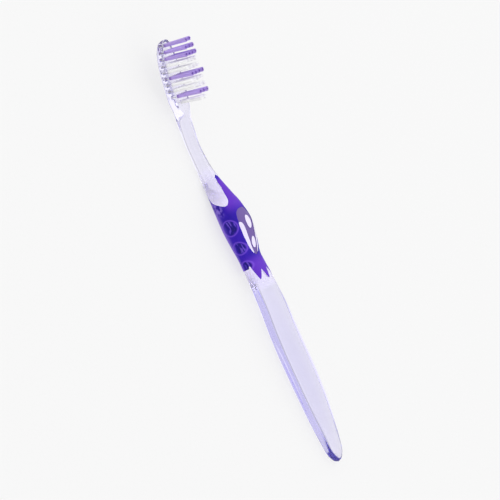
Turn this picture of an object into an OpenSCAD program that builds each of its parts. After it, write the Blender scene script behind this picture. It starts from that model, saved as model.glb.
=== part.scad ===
// Manual toothbrush, lying on its back with the bristles up
// The head tip is at the -X end, the bristles point to +Z, and the back rests on Z = 0

/* [Lengths] */
// Head, from its tip to the neck
head_len = 28.9; // [26:0.1:35]
// Neck, from the head to the grip's front tongue
neck_len = 30.5; // [25:0.1:37]
// Grip, from its front tongue to its rear teeth
grip_len = 48.2; // [40:0.1:58]
// Stem, from the grip's rear teeth to the end
stem_len = 81.5; // [67:0.1:98]

/* [Widths] */
// Head
head_w = 11.6; // [11:0.1:14]
// Neck at its thinnest
neck_w = 5.4; // [4.5:0.1:6.5]
// Grip at its fullest
belly_w = 14.4; // [12:0.1:17.3]
// Grip at its rear waist
waist_w = 12; // [10:0.1:14.4]
// Stem at its fullest
palm_w = 13.4; // [11.2:0.1:16]
// Stem just before its rounded end
end_w = 7; // [5.8:0.1:8.4]

/* [Thicknesses] */
// Head plate at its shoulder
head_t = 4.2; // [3.9:0.1:5.1]
// Head plate at its tip
tip_t = 3.9; // [3.7:0.1:4.7]
// Neck at its thinnest
neck_t = 5.4; // [4.5:0.1:6.5]
// Grip at its fullest
belly_t = 12.4; // [10.4:0.1:14.9]
// Grip at its rear waist
waist_t = 7.8; // [6.5:0.1:9.4]
// Stem at its fullest
palm_t = 9.8; // [8.2:0.1:11.8]
// Stem just before its rounded end
end_t = 4.6; // [3.8:0.1:5.6]

/* [Head and bristles] */
// Angle by which the head leans up towards its tip
face_tilt = 10.2; // [8:0.1:12]
// Height of the bristle face above the table, at the head's shoulder
face_height = 8.1; // [7.4:0.1:9.8]
// Diameter of a tuft hole
hole_d = 1.65; // [1.4:0.01:1.9]
// Wall left under a tuft hole
floor_wall = 1.4; // [1.2:0.1:1.6]
// Free length of a coloured tuft
tuft_len = 11.5; // [9.5:0.1:13.8]
// How much shorter the white tufts are
white_drop = 1.2; // [0:0.1:1.8]

/* [Grip] */
// Thickness of the soft grip over the clear core
grip_wall = 1.4; // [1.2:0.1:1.7]
// Diameter of the front finger dimple
dimple_d = 6.7; // [5.6:0.1:8]
// Depth of the finger dimples
dimple_depth = 0.9; // [0.7:0.05:1]
// Depth of the thumb pad's recess
pad_depth = 0.3; // [0.2:0.05:0.5]
// Depth by which the grip's front is let into the crown of the neck
front_depth = 0.6; // [0.5:0.05:0.7]

/* [Hidden] */

// Number of tufts in each row from the tip, and whether the row is coloured
ROW_TUFTS = [2, 3, 4, 4, 4, 4, 4, 4, 3, 2];
ROW_COLOURED = [true, true, true, false, false, true, false, false, true, false];
// How closely each row's tufts stand against the pitch, and how long each row is trimmed
ROW_CLOSE_SHARES = [1, 1, 0.88, 0.96, 1, 1, 1, 1, 1, 1];
ROW_TRIM_SHARES = [0.985, 0.965, 0.95, 0.965, 0.98, 1, 1.01, 1.03, 1.04, 1.06];
// Angle by which each row's tufts lean from square, towards the tip
ROW_LEANS = [2.5, 1.5, 0, 0, 0, 0, 0, 0, 0, 0];
// Walls left between the tufts and the head's tip, its sides and the end of its flat face
tip_wall = 1.68;
rim_wall = 1.08;
heel_wall = 0.66;
// Strands in a tuft's inner and outer ring, and their size
INNER_STRANDS = 3;
OUTER_STRANDS = 8;
strand_d = 0.36;
inner_ring_share = 0.34;
outer_ring_share = 0.74;
// Share of the free space to the nearest tuft that the strands splay into
splay_share = 0.46;
// The gathered root of a tuft stands this far out of its hole, and is this much slimmer
root_rise = 0.2;
root_clearance = 0.02;
// Flat metal anchor that pins a tuft's fold: thickness, then its reach into the wall between two holes,
// and its height and its place above the floor against the hole's depth
anchor_thick = 0.25;
anchor_reach_share = 0.7;
anchor_high_share = 0.52;
anchor_lift_share = 0.12;

// How far the head's crown is planed down to the flat bristle face, and where the flat ends
face_plane = 0.25;
face_end_share = 0.985;
// How far the back is planed flat where it rests
rest_plane = 0.12;
// Heights of the back above the table at the belly, the waist and the end
belly_lift = 0.1;
waist_lift = 1.4;
end_lift = 0.7;
// Lengths over which the tip and the end round off, and how far the rounding runs on as a flat
nose_len = 13;
nose_heel = 7;
end_len = 6;
cap_len = 0.12;
// Share of the head's thickness that is left at the tip
nose_thin_share = 0.55;
// Cut overrun
over = 1;

// Squareness of the cross sections, where 2 is an ellipse
head_square = 4;
neck_square = 2.1;
belly_square = 2.1;
waist_square = 2.2;
palm_square = 2.8;
end_square = 2.5;

// Places along the brush, from the tip
shoulder_share = 0.83;
neck_share = 0.56;
belly_share = 0.48;
waist_share = 0.8;
palm_share = 0.445;
brush_len = head_len + neck_len + grip_len + stem_len;
grip_at = head_len + neck_len;
stem_at = grip_at + grip_len;
shoulder_at = head_len * shoulder_share;
neck_at = head_len + neck_len * neck_share;
belly_at = grip_at + grip_len * belly_share;
waist_at = grip_at + grip_len * waist_share;
palm_at = stem_at + stem_len * palm_share;

// Height of the bristle face above the table
function face_z(along) = face_height + (shoulder_at - along) * tan(face_tilt);

// Rows and tufts, spread over the flat face, with their holes and anchors
first_row = tip_wall + hole_d / 2;
row_pitch = (head_len * face_end_share * cos(face_tilt) - heel_wall - hole_d / 2 - first_row)
    / (len(ROW_TUFTS) - 1);
tuft_pitch = (head_w - 2 * rim_wall - hole_d) / (max(ROW_TUFTS) - 1);
closest_pitch = min(row_pitch, tuft_pitch * min(ROW_CLOSE_SHARES));
splay_angle = asin(splay_share * ((closest_pitch - strand_d - hole_d * outer_ring_share) / 2) / tuft_len)
    / outer_ring_share;
hole_depth = tip_t - floor_wall;
anchor_len = between(hole_d, closest_pitch, anchor_reach_share);
anchor_high = hole_depth * anchor_high_share;
anchor_lift = hole_depth * anchor_lift_share;

// Keys of the form: place, width, thickness, height of the back, squareness
TIP = [0, head_w, tip_t + face_plane, face_z(0) - tip_t, head_square];
SHOULDER = [shoulder_at, head_w, head_t + face_plane, face_z(shoulder_at) - head_t, head_square];
NECK = [neck_at, neck_w, neck_t + rest_plane, -rest_plane, neck_square];
BELLY = [belly_at, belly_w, belly_t, belly_lift, belly_square];
WAIST = [waist_at, waist_w, waist_t, waist_lift, waist_square];
PALM = [palm_at, palm_w, palm_t + rest_plane, -rest_plane, palm_square];
END = [brush_len, end_w, end_t, end_lift, end_square];

// Shares of the way from one key to the next: along, width, thickness, back, squareness
THROAT_SHARES = [
    [0.22, 0.3, -0.3, 0.14, 0.15],
    [0.45, 0.84, 1.1, 0.66, 0.75],
    [0.7, 0.94, 1.25, 0.86, 0.95],
];
SWELL_SHARES = [
    [0.22, 0.06, 0.06, 0, 0],
    [0.38, 0.24, 0.22, 0.2, 0],
    [0.63, 0.56, 0.6, 0.6, 0],
    [0.77, 0.8, 0.82, 0.95, 0],
];
SADDLE_SHARES = [[0.42, 0.36, 0.38, 0.34, 0.4]];
RISE_SHARES = [[0.17, 0.03, 0.35, 0, 0.2], [0.45, 0.5, 0.66, 0.2, 0.6], [0.72, 0.85, 0.88, 0.75, 0.9]];
TAPER_SHARES = [[0.33, 0.1, 0.1, 0, 0.1], [0.55, 0.28, 0.3, 0.03, 0.3], [0.78, 0.6, 0.62, 0.4, 0.7]];

function between(low, high, share) = low + (high - low) * share;
function rows_between(from, to, shares) =
    [for (row = shares) [for (i = [0:4]) between(from[i], to[i], row[i])]];

FORM = concat(
    [TIP, SHOULDER], rows_between(SHOULDER, NECK, THROAT_SHARES),
    [NECK], rows_between(NECK, BELLY, SWELL_SHARES),
    [BELLY], rows_between(BELLY, WAIST, SADDLE_SHARES),
    [WAIST], rows_between(WAIST, PALM, RISE_SHARES),
    [PALM], rows_between(PALM, END, TAPER_SHARES), [END]);

// Smooth curve through one column of the form, which never swings past its keys
function rise(i, column) = (FORM[i + 1][column] - FORM[i][column]) / (FORM[i + 1][0] - FORM[i][0]);
function slope(i, column) =
    i == 0 ? rise(0, column) :
    i == len(FORM) - 1 ? rise(i - 1, column) :
    rise(i - 1, column) * rise(i, column) <= 0 ? 0 :
    2 * rise(i - 1, column) * rise(i, column) / (rise(i - 1, column) + rise(i, column));
function span_of(along, i = 0) =
    i >= len(FORM) - 2 || along <= FORM[i + 1][0] ? i : span_of(along, i + 1);
function cubic(u, from, to, lead, trail) =
    from + u * (lead + u * (3 * (to - from) - 2 * lead - trail + u * (2 * (from - to) + lead + trail)));
function form_in(along, column, i, step) =
    cubic((along - FORM[i][0]) / step, FORM[i][column], FORM[i + 1][column],
        slope(i, column) * step, slope(i + 1, column) * step);
function form(along, column) =
    let (i = span_of(along)) form_in(along, column, i, FORM[i + 1][0] - FORM[i][0]);

// Rounding at a free end, by the distance that is left to it
function rounded(left, length) =
    left >= length ? 1 : sqrt(1 - pow((length - left) / (length + cap_len), 2));
function half_w(along) =
    form(along, 1) / 2 * rounded(along, nose_len) * rounded(brush_len - along, end_len);
function thick(along) =
    form(along, 2) * rounded(brush_len - along, end_len)
        * between(nose_thin_share, 1, rounded(along, nose_heel));
// The tip rounds off below its flat face, and the end rounds off about its middle
function mid_z(along) =
    along < head_len / 2 ? form(along, 3) + form(along, 2) - thick(along) / 2 :
    form(along, 3) + form(along, 2) / 2;

// Cross section of the form, drawn in by a depth
SIDES = 28;
function powered(value, power) = sign(value) * pow(abs(value), power);
function section(along, depth) =
    let (power = 2 / form(along, 4))
    [for (k = [0:SIDES - 1]) let (angle = 360 * k / SIDES) [
        along,
        (half_w(along) - depth) * powered(cos(angle), power),
        mid_z(along) + (thick(along) / 2 - depth) * powered(sin(angle), power)]];

// Solid through a row of sections
function ring_faces(rings) =
    [for (r = [0:rings - 2], k = [0:SIDES - 1], half = [0, 1])
        let (a = r * SIDES + k, b = r * SIDES + (k + 1) % SIDES)
        half == 0 ? [a, b + SIDES, b] : [a, a + SIDES, b + SIDES]];
module loft(places, depth) {
    points = [for (along = places) each section(along, depth)];
    last = (len(places) - 1) * SIDES;
    polyhedron(points, concat(
        [[for (k = [0:SIDES - 1]) k]], ring_faces(len(places)), [[for (k = [SIDES - 1:-1:0]) last + k]]));
}

NOSE_STEPS = 7;
BODY_STEPS = 42;
END_STEPS = 5;
body_run = brush_len - nose_len - end_len;
SKIN_PLACES = concat(
    [for (k = [0:NOSE_STEPS - 1]) nose_len * (1 - cos(90 * k / NOSE_STEPS))],
    [for (k = [0:BODY_STEPS]) nose_len + body_run * k / BODY_STEPS],
    [for (k = [1:END_STEPS]) brush_len - end_len * (1 - sin(90 * k / END_STEPS))]);
CORE_STEPS = 15;
CORE_PLACES = [for (k = [0:CORE_STEPS]) grip_at - over + (grip_len + 2 * over) * k / CORE_STEPS];
function places_over(span, steps) =
    [for (k = [0:steps]) grip_at + grip_len * between(span[0], span[1], k / steps)];
PAD_SPAN_SHARES = [0.3, 0.84];
PAD_STEPS = 8;
FRONT_SPAN_SHARES = [-0.03, 0.26];
FRONT_STEPS = 6;

// Smooth closed outline through its points
CURVE_STEPS = 4;
function curved(points) =
    let (n = len(points))
    [for (i = [0:n - 1], k = [0:CURVE_STEPS - 1])
        let (a = points[i], b = points[(i + 1) % n],
            lead = (b - points[(i + n - 1) % n]) / 2, trail = (points[(i + 2) % n] - a) / 2)
        cubic(k / CURVE_STEPS, a, b, lead, trail)];
// Outline given in shares of a length and a height
function placed(shares, length, height) = [for (point = shares) [point[0] * length, point[1] * height]];
// Outline of both sides, from the outline of one
function two_sided(side) = concat(side, [for (k = [len(side) - 1:-1:0]) [side[k][0], -side[k][1]]]);

// Side view of the grip, in shares of its length and of the belly's thickness:
// the clear neck reaches into it as a slanting tongue
TONGUE_SHARES = [
    [-0.07, 0.62], [-0.005, 0.575], [0.025, 0.558], [0.09, 0.63], [0.19, 0.723], [0.255, 0.782],
    [0.289, 0.745], [0.288, 0.64], [0.262, 0.47], [0.228, 0.27], [0.18, 0.14], [0.1, 0.082],
    [0.04, 0.06], [0.012, -0.1], [-0.07, -0.2],
];
// Its rear edge: the blunt lower end, the cleft above it and the side teeth
REAR_SHARES = [[0.867, 0.53], [0.832, 0.572], [0.9, 0.63], [0.983, 0.71]];
// Top view of the clear notches between the teeth, in shares of the grip's length and the belly's width
NOTCH_SHARES = [
    [1, 0.022], [0.988, 0.04], [0.913, 0.118], [0.907, 0.135], [0.913, 0.15], [0.983, 0.285], [0.988, 0.31],
];
// Top view of the clear leaf windows beside the thumb rest
LEAF_SHARES = [
    [0.464, 0.31], [0.492, 0.238], [0.61, 0.178], [0.7, 0.13], [0.767, 0.085],
    [0.7, 0.222], [0.62, 0.295], [0.55, 0.335], [0.485, 0.35],
];
// Top view of one side of the thumb pad, which ends inside the leaf windows
PAD_SHARES = [
    [0.352, 0.1], [0.369, 0.215], [0.402, 0.285], [0.45, 0.322], [0.5, 0.315], [0.56, 0.287],
    [0.63, 0.24], [0.7, 0.175], [0.742, 0.115], [0.772, 0.045],
];
// Top view of one side of the grip's narrow front, let into the crown of the neck
FRONT_SHARES = [
    [0.006, 0.012], [0.014, 0.027], [0.035, 0.061], [0.056, 0.091], [0.076, 0.114],
    [0.12, 0.12], [0.22, 0.12],
];
// Oval windows: place, length and width
OVAL_SHARES = [[0.488, 0.12, 0.222], [0.668, 0.098, 0.188]];
// Finger dimples: place, height in the belly's thickness, size against the front one
DIMPLE_SHARES = [[0.482, 0.565, 1], [0.672, 0.54, 0.81], [0.84, 0.49, 0.7]];
OVAL_POINTS = 20;

// Side outline drawn through the width
module through_width(outline) {
    translate([grip_at, belly_w / 2 + over, 0]) rotate([90, 0, 0])
        linear_extrude(belly_w + 2 * over) polygon(outline);
}

// Top outline drawn up through the upper half
module up_through_top(outline) {
    translate([grip_at, 0, belly_t / 2]) linear_extrude(belly_t / 2 + over) polygon(outline);
}

module both_sides() {
    children();
    mirror([0, 1, 0]) children();
}

// Space of the soft grip, before the clear core is taken out
module grip_zone() {
    rear = placed(REAR_SHARES, grip_len, belly_t);
    difference() {
        through_width(concat(
            [[-over, belly_t + over], [-over, -over], [rear[0][0], -over]], rear,
            [[grip_len, rear[3][1] + (rear[3][1] - rear[2][1]) / 2], [grip_len, belly_t + over]]));
        through_width(curved(placed(TONGUE_SHARES, grip_len, belly_t)));
        both_sides() {
            up_through_top(concat(placed(NOTCH_SHARES, grip_len, belly_w), [[grip_len + over, belly_w],
                [grip_len + 2 * over, belly_w], [grip_len + 2 * over, belly_w * NOTCH_SHARES[0][1]]]));
            up_through_top(curved(placed(LEAF_SHARES, grip_len, belly_w)));
        }
        for (oval = OVAL_SHARES)
            up_through_top([for (k = [0:OVAL_POINTS - 1]) let (angle = 360 * k / OVAL_POINTS) [
                grip_len * (oval[0] + oval[1] / 2 * cos(angle)), belly_w * oval[2] / 2 * sin(angle)]]);
    }
}

// Layer of one depth under the skin, inside a top outline
module layer_under_skin(outline, span, steps, depth) {
    difference() {
        up_through_top(outline);
        loft(places_over(span, steps), depth);
    }
}

// Space that the soft grip fills under the skin
module grip_space() {
    difference() {
        grip_zone();
        loft(CORE_PLACES, grip_wall);
    }
    layer_under_skin(two_sided(placed(FRONT_SHARES, grip_len, belly_w)), FRONT_SPAN_SHARES, FRONT_STEPS,
        front_depth);
}

// Shallow recess for the thumb, around the windows
module thumb_pad() {
    layer_under_skin(curved(two_sided(placed(PAD_SHARES, grip_len, belly_w))), PAD_SPAN_SHARES, PAD_STEPS,
        pad_depth);
}

module finger_dimples() {
    for (dimple = DIMPLE_SHARES) {
        radius = dimple_d / 2 * dimple[2];
        ball = (pow(radius, 2) + pow(dimple_depth, 2)) / (2 * dimple_depth);
        along = grip_at + grip_len * dimple[0];
        both_sides() translate([along, dimple_depth - half_w(along) - ball, belly_t * dimple[1]])
            sphere(ball, $fn = 64);
    }
}

// Cut that planes the head's crown down to the flat bristle face
module face_cut() {
    translate([0, 0, face_z(0)]) rotate([0, face_tilt, 0]) translate([-head_len, -head_w, 0])
        cube([head_len * (1 + face_end_share), 2 * head_w, head_t]);
}

module rest_cut() {
    translate([-over, -belly_w, -2 * over]) cube([brush_len + 2 * over, 2 * belly_w, 2 * over]);
}

// Places something on the bristle face, along the tuft, at each tuft of a row
module at_tufts(row) {
    along = first_row + row_pitch * row;
    pitch = tuft_pitch * ROW_CLOSE_SHARES[row];
    for (k = [0:ROW_TUFTS[row] - 1])
        translate([along, pitch * (k - (ROW_TUFTS[row] - 1) / 2), face_z(along)])
            rotate([0, face_tilt - ROW_LEANS[row], 0]) children();
}

module anchor_plate() {
    translate([-anchor_thick / 2, -anchor_len / 2, anchor_lift - hole_depth])
        cube([anchor_thick, anchor_len, anchor_high]);
}

// Blind hole with the slot that the anchor cuts in its wall
module tuft_hole() {
    translate([0, 0, -hole_depth]) cylinder(hole_depth + over, d = hole_d, $fn = 48);
    anchor_plate();
}

// Moves the form, which starts at the tip, so that the origin is at the middle of its length
module centred() {
    translate([-brush_len / 2, 0, 0]) children();
}

module skin() {
    difference() {
        loft(SKIN_PLACES, 0);
        rest_cut();
    }
}

module handle() {
    color([0.86, 0.84, 0.98, 0.6]) centred() difference() {
        skin();
        grip_space();
        face_cut();
        for (row = [0:len(ROW_TUFTS) - 1]) at_tufts(row) tuft_hole();
    }
}

module grip_sleeve() {
    color([0.24, 0.12, 0.7]) centred() difference() {
        intersection() {
            skin();
            grip_space();
        }
        finger_dimples();
        thumb_pad();
    }
}

// Ring of strands that splay outwards from the root, and never cross
module strand_ring(count, ring_share, length) {
    for (k = [0:count - 1])
        rotate([0, 0, 360 * k / count]) translate([hole_d / 2 * ring_share, 0, 0])
            rotate([0, splay_angle * ring_share, 0]) cylinder(length, d = strand_d, $fn = 4);
}

// Bundle of strands on its root, which the anchor folds into the hole
module tuft(length) {
    difference() {
        translate([0, 0, root_clearance - hole_depth])
            cylinder(hole_depth - root_clearance + root_rise, d = hole_d - 2 * root_clearance, $fn = 32);
        anchor_plate();
    }
    strand_ring(INNER_STRANDS, inner_ring_share, length);
    strand_ring(OUTER_STRANDS, outer_ring_share, length);
}

module tuft_row(row) {
    color(ROW_COLOURED[row] ? [0.62, 0.5, 0.85] : [0.95, 0.95, 0.97]) centred()
        at_tufts(row) tuft((tuft_len - (ROW_COLOURED[row] ? 0 : white_drop)) * ROW_TRIM_SHARES[row]);
}

module anchor_row(row) {
    color([0.72, 0.72, 0.7]) centred() at_tufts(row) anchor_plate();
}

handle();
grip_sleeve();
tuft_row(0);  // tuft_row_01
tuft_row(1);  // tuft_row_02
tuft_row(2);  // tuft_row_03
tuft_row(3);  // tuft_row_04
tuft_row(4);  // tuft_row_05
tuft_row(5);  // tuft_row_06
tuft_row(6);  // tuft_row_07
tuft_row(7);  // tuft_row_08
tuft_row(8);  // tuft_row_09
tuft_row(9);  // tuft_row_10
anchor_row(0);  // anchor_row_01
anchor_row(1);  // anchor_row_02
anchor_row(2);  // anchor_row_03
anchor_row(3);  // anchor_row_04
anchor_row(4);  // anchor_row_05
anchor_row(5);  // anchor_row_06
anchor_row(6);  // anchor_row_07
anchor_row(7);  // anchor_row_08
anchor_row(8);  // anchor_row_09
anchor_row(9);  // anchor_row_10
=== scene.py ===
"""Manual toothbrush lying on its back with the bristles up, seen from its side and a little above.

The clear body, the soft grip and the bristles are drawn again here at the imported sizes, with smooth
surfaces and fine strands. The small metal anchors stay as packed.
"""

import random
from bisect import bisect_right
from math import atan2, cos, pi, radians, sin, sqrt, tan

import bmesh
import bpy
import numpy as np
from mathutils import Matrix, Vector


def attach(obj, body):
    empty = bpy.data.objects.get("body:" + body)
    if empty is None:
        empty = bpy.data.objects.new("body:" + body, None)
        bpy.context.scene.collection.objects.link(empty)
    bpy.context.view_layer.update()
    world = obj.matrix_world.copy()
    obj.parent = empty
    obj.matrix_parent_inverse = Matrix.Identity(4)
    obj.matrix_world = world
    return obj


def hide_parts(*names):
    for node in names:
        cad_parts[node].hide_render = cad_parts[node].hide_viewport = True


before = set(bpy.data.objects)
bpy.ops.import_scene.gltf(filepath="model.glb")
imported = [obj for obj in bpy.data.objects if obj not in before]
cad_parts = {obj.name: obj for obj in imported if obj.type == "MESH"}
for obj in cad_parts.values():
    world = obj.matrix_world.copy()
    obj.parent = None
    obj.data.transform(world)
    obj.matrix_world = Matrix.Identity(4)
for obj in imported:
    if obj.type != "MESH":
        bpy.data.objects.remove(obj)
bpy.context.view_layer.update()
MM = 0.001

# Sizes of the brush, in millimetres
HEAD_LEN, NECK_LEN, GRIP_LEN, STEM_LEN = 28.9, 30.5, 48.2, 81.5
HEAD_W, NECK_W, BELLY_W, WAIST_W, PALM_W, END_W = 11.6, 5.4, 14.4, 12, 13.4, 7
TIP_T, HEAD_T, NECK_T, BELLY_T, WAIST_T, PALM_T, END_T = 3.9, 4.2, 5.4, 12.4, 7.8, 9.8, 4.6
FACE_TILT, FACE_HEIGHT = 10.2, 8.1
HOLE_D, HOLE_DEPTH, TUFT_LEN, WHITE_DROP = 1.65, 2.5, 11.5, 1.2
GRIP_WALL, DIMPLE_D, DIMPLE_DEPTH, PAD_DEPTH, FRONT_DEPTH = 1.4, 6.7, 0.9, 0.3, 0.6
FACE_PLANE, REST_PLANE, FACE_END_SHARE = 0.25, 0.12, 0.985
NOSE_LEN, NOSE_HEEL, END_LEN, CAP_LEN, NOSE_THIN_SHARE = 13, 7, 6, 0.12, 0.55
TIP_WALL, RIM_WALL, HEEL_WALL = 1.68, 1.08, 0.66
SOFT_EDGE = 0.8  # the tip and the end are eased over this length
SOFT_EDGE_SHARE = 0.97  # share of a section's squared size that is gone at the very end
SOFT_REST = 0.15  # the flat that the brush rests on runs softly into its flanks

# Rows of tufts from the tip: how many, which are coloured, how close, how long and how far they lean
ROW_TUFTS = [2, 3, 4, 4, 4, 4, 4, 4, 3, 2]
ROWS = len(ROW_TUFTS)
COLOURED_ROWS = {0, 1, 2, 5, 8}
ROW_CLOSE = [1, 1, 0.88, 0.96, 1, 1, 1, 1, 1, 1]
ROW_TRIM = [0.985, 0.965, 0.95, 0.965, 0.98, 1, 1.01, 1.03, 1.04, 1.06]
ROW_LEAN = [2.5, 1.5, 0, 0, 0, 0, 0, 0, 0, 0]

# Heights of the back above the table, squareness of the sections, and places as shares of their stretch
BELLY_LIFT, WAIST_LIFT, END_LIFT = 0.1, 1.4, 0.7
HEAD_SQUARE, NECK_SQUARE, BELLY_SQUARE, WAIST_SQUARE, PALM_SQUARE, END_SQUARE = 4, 2.1, 2.1, 2.2, 2.8, 2.5
SHOULDER_SHARE, NECK_SHARE, BELLY_SHARE, WAIST_SHARE, PALM_SHARE = 0.83, 0.56, 0.48, 0.8, 0.445

BRUSH_LEN = HEAD_LEN + NECK_LEN + GRIP_LEN + STEM_LEN
GRIP_AT = HEAD_LEN + NECK_LEN
STEM_AT = GRIP_AT + GRIP_LEN
MIDDLE = BRUSH_LEN / 2  # the frame's origin lies here
SHOULDER_AT = HEAD_LEN * SHOULDER_SHARE


def between(low, high, share):
    return low + (high - low) * share


def face_z(along):
    """Height of the bristle face."""
    return FACE_HEIGHT + (SHOULDER_AT - along) * tan(radians(FACE_TILT))


FIRST_ROW = TIP_WALL + HOLE_D / 2
FACE_LEN = HEAD_LEN * FACE_END_SHARE * cos(radians(FACE_TILT))
ROW_PITCH = (FACE_LEN - HEEL_WALL - HOLE_D / 2 - FIRST_ROW) / (ROWS - 1)
TUFT_PITCH = (HEAD_W - 2 * RIM_WALL - HOLE_D) / (max(ROW_TUFTS) - 1)

# The form of the body
# Keys: place along the brush, width, thickness, height of the back, squareness of the section
TIP = [0, HEAD_W, TIP_T + FACE_PLANE, face_z(0) - TIP_T, HEAD_SQUARE]
SHOULDER = [SHOULDER_AT, HEAD_W, HEAD_T + FACE_PLANE, face_z(SHOULDER_AT) - HEAD_T, HEAD_SQUARE]
NECK = [HEAD_LEN + NECK_LEN * NECK_SHARE, NECK_W, NECK_T + REST_PLANE, -REST_PLANE, NECK_SQUARE]
BELLY = [GRIP_AT + GRIP_LEN * BELLY_SHARE, BELLY_W, BELLY_T, BELLY_LIFT, BELLY_SQUARE]
WAIST = [GRIP_AT + GRIP_LEN * WAIST_SHARE, WAIST_W, WAIST_T, WAIST_LIFT, WAIST_SQUARE]
PALM = [STEM_AT + STEM_LEN * PALM_SHARE, PALM_W, PALM_T + REST_PLANE, -REST_PLANE, PALM_SQUARE]
END = [BRUSH_LEN, END_W, END_T, END_LIFT, END_SQUARE]

# Keys between two of these, as shares of the way from one to the other, column by column
THROAT = [[0.22, 0.3, -0.3, 0.14, 0.15], [0.45, 0.84, 1.1, 0.66, 0.75], [0.7, 0.94, 1.25, 0.86, 0.95]]
SWELL = [[0.22, 0.06, 0.06, 0, 0], [0.38, 0.24, 0.22, 0.2, 0], [0.63, 0.56, 0.6, 0.6, 0],
         [0.77, 0.8, 0.82, 0.95, 0]]
SADDLE = [[0.42, 0.36, 0.38, 0.34, 0.4]]
RISE = [[0.17, 0.03, 0.35, 0, 0.2], [0.45, 0.5, 0.66, 0.2, 0.6], [0.72, 0.85, 0.88, 0.75, 0.9]]
TAPER = [[0.33, 0.1, 0.1, 0, 0.1], [0.55, 0.28, 0.3, 0.03, 0.3], [0.78, 0.6, 0.62, 0.4, 0.7]]


def keys_between(first, second, shares):
    return [[between(a, b, share) for a, b, share in zip(first, second, row)] for row in shares]


FORM = [TIP, SHOULDER, *keys_between(SHOULDER, NECK, THROAT), NECK, *keys_between(NECK, BELLY, SWELL),
        BELLY, *keys_between(BELLY, WAIST, SADDLE), WAIST, *keys_between(WAIST, PALM, RISE),
        PALM, *keys_between(PALM, END, TAPER), END]


def curve_through(places, values):
    """Smooth curve through the values, which never swings past them."""
    rises = [(b - a) / (q - p) for a, b, p, q in zip(values, values[1:], places, places[1:])]
    inner = (0 if a * b <= 0 else 2 * a * b / (a + b) for a, b in zip(rises, rises[1:]))
    slopes = [rises[0], *inner, rises[-1]]

    def curve(along):
        i = min(max(bisect_right(places, along) - 1, 0), len(places) - 2)
        step = places[i + 1] - places[i]
        u, a, b = (along - places[i]) / step, values[i], values[i + 1]
        lead, trail = slopes[i] * step, slopes[i + 1] * step
        return a + u * (lead + u * (3 * (b - a) - 2 * lead - trail + u * (2 * (a - b) + lead + trail)))

    return curve


form_width, form_thickness, form_back, form_squareness = (
    curve_through([key[0] for key in FORM], [key[column] for key in FORM]) for column in (1, 2, 3, 4))


def rounded(left, length):
    return 1 if left >= length else sqrt(1 - ((length - left) / (length + CAP_LEN)) ** 2)


def eased(along):
    """Eases the very tip and end, so that they carry no flat."""
    left = min(along, BRUSH_LEN - along, SOFT_EDGE)
    return sqrt(1 - SOFT_EDGE_SHARE * (1 - left / SOFT_EDGE) ** 2)


def half_width(along):
    return form_width(along) / 2 * rounded(along, NOSE_LEN) * rounded(BRUSH_LEN - along, END_LEN)


def thickness(along):
    nose = between(NOSE_THIN_SHARE, 1, rounded(along, NOSE_HEEL))
    return form_thickness(along) * rounded(BRUSH_LEN - along, END_LEN) * nose


def middle_z(along):
    if along < HEAD_LEN / 2:
        return form_back(along) + form_thickness(along) - thickness(along) / 2
    return form_back(along) + form_thickness(along) / 2


def signed_power(value, power):
    return abs(value) ** power * (1 if value >= 0 else -1)


def skin_point(along, angle, depth=0):
    """Point of the body's skin, in metres, at an angle round its section and a depth in millimetres."""
    power, ease = 2 / form_squareness(along), eased(along)
    y = (half_width(along) * ease - depth) * signed_power(cos(angle), power)
    z = middle_z(along) + (thickness(along) / 2 * ease - depth) * signed_power(sin(angle), power)
    z = (z + sqrt(z ** 2 + SOFT_REST ** 2)) / 2
    return Vector((along - MIDDLE, y, z)) * MM


# Outlines cut through the form
# Side view of the grip, in shares of its length and of the belly's thickness
TONGUE = [[-0.07, 0.62], [-0.005, 0.575], [0.025, 0.558], [0.09, 0.63], [0.19, 0.723], [0.255, 0.782],
          [0.289, 0.745], [0.288, 0.64], [0.262, 0.47], [0.228, 0.27], [0.18, 0.14], [0.1, 0.082],
          [0.04, 0.06], [0.012, -0.1], [-0.07, -0.2]]
REAR = [[0.867, 0.53], [0.832, 0.572], [0.9, 0.63], [0.983, 0.71]]
# Top view, in shares of its length and of the belly's width
NOTCH = [[1, 0.022], [0.988, 0.04], [0.913, 0.118], [0.907, 0.135], [0.913, 0.15], [0.983, 0.285],
         [0.988, 0.31]]
LEAF = [[0.464, 0.31], [0.492, 0.238], [0.61, 0.178], [0.7, 0.13], [0.767, 0.085],
        [0.7, 0.222], [0.62, 0.295], [0.55, 0.335], [0.485, 0.35]]
PAD = [[0.352, 0.1], [0.369, 0.215], [0.402, 0.285], [0.45, 0.322], [0.5, 0.315], [0.56, 0.287],
       [0.63, 0.24], [0.7, 0.175], [0.742, 0.115], [0.772, 0.045]]
FRONT = [[0.006, 0.012], [0.014, 0.027], [0.035, 0.061], [0.056, 0.091], [0.076, 0.114], [0.12, 0.12],
         [0.22, 0.12]]
OVALS = [[0.488, 0.12, 0.222], [0.668, 0.098, 0.188]]  # place, length, width
DIMPLES = [[0.482, 0.565, 1], [0.672, 0.54, 0.81], [0.84, 0.49, 0.7]]  # place, height, size
CURVE_STEPS = 10  # between two points of a smooth outline
OVAL_SIDES = 60


def scaled(outline, height):
    return [(x * GRIP_LEN, y * height) for x, y in outline]


def curved(points):
    """Smooth closed outline through its points."""
    outline, n = [], len(points)
    for i in range(n):
        before, a, b, after = (Vector(points[j % n]) for j in (i - 1, i, i + 1, i + 2))
        lead, trail = (b - before) / 2, (after - a) / 2
        for k in range(CURVE_STEPS):
            u = k / CURVE_STEPS
            bend = 3 * (b - a) - 2 * lead - trail + u * (2 * (a - b) + lead + trail)
            outline.append(a + u * (lead + u * bend))
    return outline


def mirrored(outline):
    return [(x, -y) for x, y in reversed(outline)]


def two_sided(outline):
    return [*outline, *mirrored(outline)]


# Shaping
SIDES = 96  # of a lofted section and of a ball


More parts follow.
